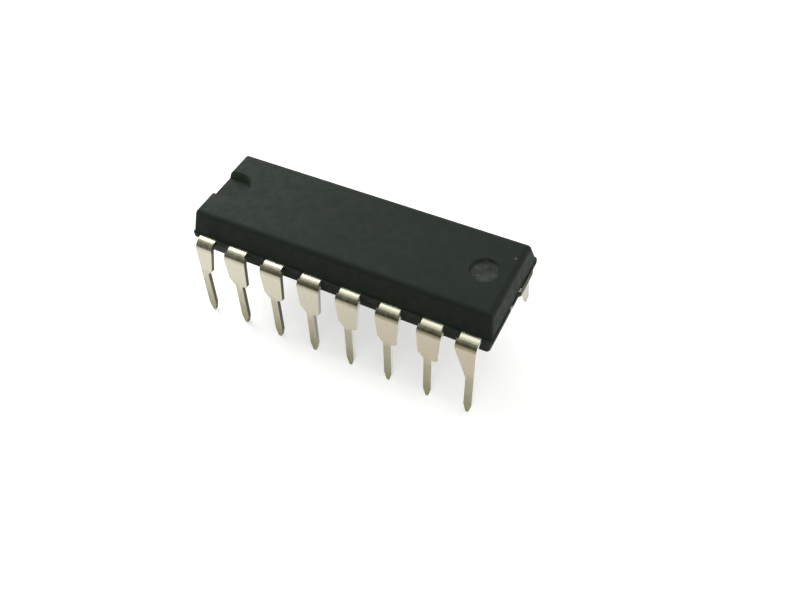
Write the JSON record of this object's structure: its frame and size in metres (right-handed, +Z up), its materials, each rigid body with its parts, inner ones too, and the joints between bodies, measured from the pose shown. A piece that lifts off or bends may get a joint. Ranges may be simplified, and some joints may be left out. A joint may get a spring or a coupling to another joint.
{
  "type": "dip integrated circuit chip",
  "caption": "Dual in-line integrated circuit: a black moulded body with an index notch at one end and a row of bent, tapered metal leads down each long side.",
  "frame": {"origin": "on the floor plane that the lead tips stand on, under the middle of the body", "axes": "+X along the body from the notched end to the plain end, +Y across the body away from the row of leads 1 to 8, +Z up from the lead tips to the marked face"},
  "size_m": [0.0196, 0.009, 0.0071],
  "materials": {
    "moulding": "fine matte epoxy moulding, smoother on the rounded edges",
    "lead_metal": "tin-plated leadframe alloy, satin, with shiny bends",
    "frame_metal": "bare leadframe alloy, sheared where it shows at the ends",
    "attach": "cured silver-filled epoxy",
    "silicon": "polished silicon",
    "wire_metal": "drawn gold wire"
  },
  "bodies": {
    "root": {"body": "moulding", "die_pad": "frame_metal", "die_attach": "attach", "die": "silicon", "lead_1": "lead_metal", "lead_2": "lead_metal", "lead_3": "lead_metal", "lead_4": "lead_metal", "lead_5": "lead_metal", "lead_6": "lead_metal", "lead_7": "lead_metal", "lead_8": "lead_metal", "lead_9": "lead_metal", "lead_10": "lead_metal", "lead_11": "lead_metal", "lead_12": "lead_metal", "lead_13": "lead_metal", "lead_14": "lead_metal", "lead_15": "lead_metal", "lead_16": "lead_metal", "bond_wire_1": "wire_metal", "bond_wire_2": "wire_metal", "bond_wire_3": "wire_metal", "bond_wire_4": "wire_metal", "bond_wire_5": "wire_metal", "bond_wire_6": "wire_metal", "bond_wire_7": "wire_metal", "bond_wire_8": "wire_metal", "bond_wire_9": "wire_metal", "bond_wire_10": "wire_metal", "bond_wire_11": "wire_metal", "bond_wire_12": "wire_metal", "bond_wire_13": "wire_metal", "bond_wire_14": "wire_metal", "bond_wire_15": "wire_metal", "bond_wire_16": "wire_metal"}
  },
  "joints": []
}
